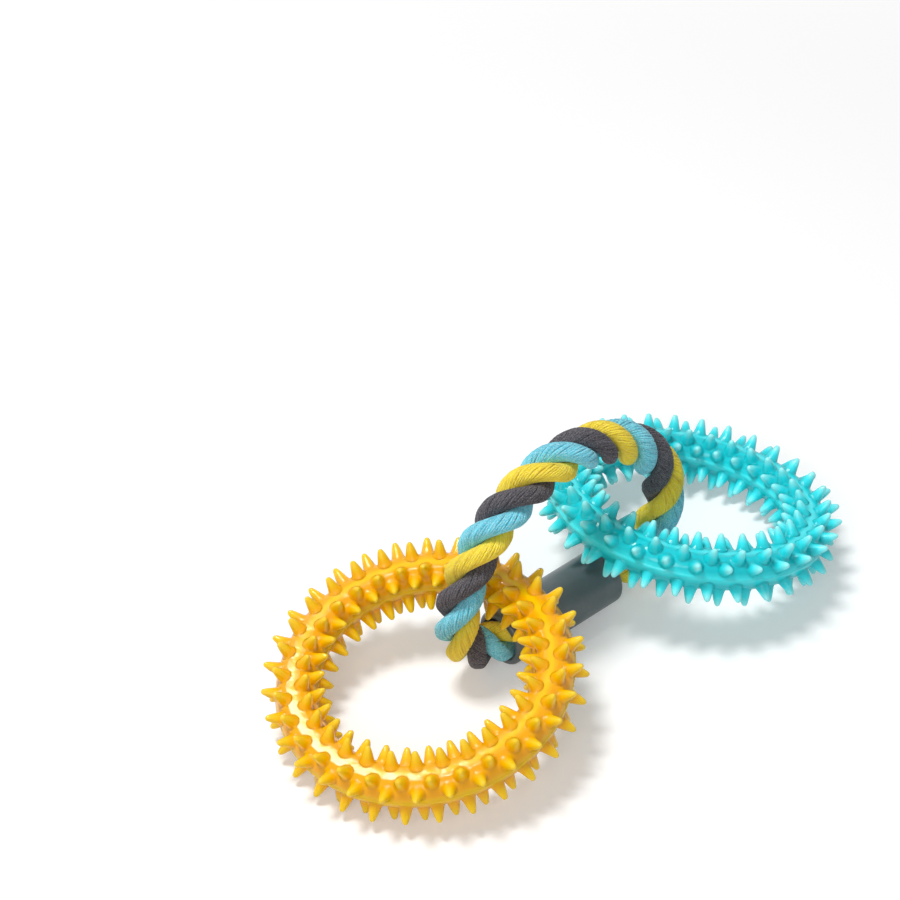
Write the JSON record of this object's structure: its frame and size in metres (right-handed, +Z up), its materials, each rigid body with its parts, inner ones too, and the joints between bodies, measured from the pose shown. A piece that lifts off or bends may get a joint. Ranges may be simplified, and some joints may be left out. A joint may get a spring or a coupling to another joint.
{
  "type": "rope ring dog toy",
  "caption": "Dog toy: spiked rubber rings threaded on a handle loop of thick twisted cotton rope, whose whipped ends meet inside a rubber grip sleeve.",
  "frame": {"origin": "on the flat underside of the grip sleeve, below the middle of the handle loop, on the floor the toy lies on", "axes": "+X along the sleeve from the amber ring to the turquoise ring, +Z up through the top of the handle loop, +Y to the back"},
  "size_m": [0.2504, 0.1182, 0.0875],
  "materials": {
    "yellow_cotton": "twisted cotton yarn, matt",
    "charcoal_cotton": "twisted cotton yarn, matt",
    "blue_cotton": "twisted cotton yarn, matt",
    "grey_rubber": "smooth satin",
    "whipping_thread": "waxed thread",
    "amber_rubber": "glossy, slightly translucent",
    "turquoise_rubber": "glossy, slightly translucent"
  },
  "bodies": {
    "rope_handle": {"rope_strand_yellow": "yellow_cotton", "rope_strand_charcoal": "charcoal_cotton", "rope_strand_blue": "blue_cotton", "grip_sleeve": "grey_rubber", "rope_end_whipping_left": "whipping_thread", "rope_end_whipping_right": "whipping_thread"},
    "amber_ring": {"amber_ring": "amber_rubber"},
    "turquoise_ring": {"turquoise_ring": "turquoise_rubber"}
  },
  "joints": [
    {"name": "amber_ring_swing", "type": "hinge", "parent": "rope_handle", "child": "amber_ring", "pos_m": [-0.0296, 0, 0.0352], "axis": [-0.1546, 0.9876, -0.0288], "range_deg": [-76, 103]},
    {"name": "turquoise_ring_swing", "type": "hinge", "parent": "rope_handle", "child": "turquoise_ring", "pos_m": [0.0172, 0, 0.0352], "axis": [-0.0862, -0.9944, 0.061], "range_deg": [-76, 103]}
  ]
}
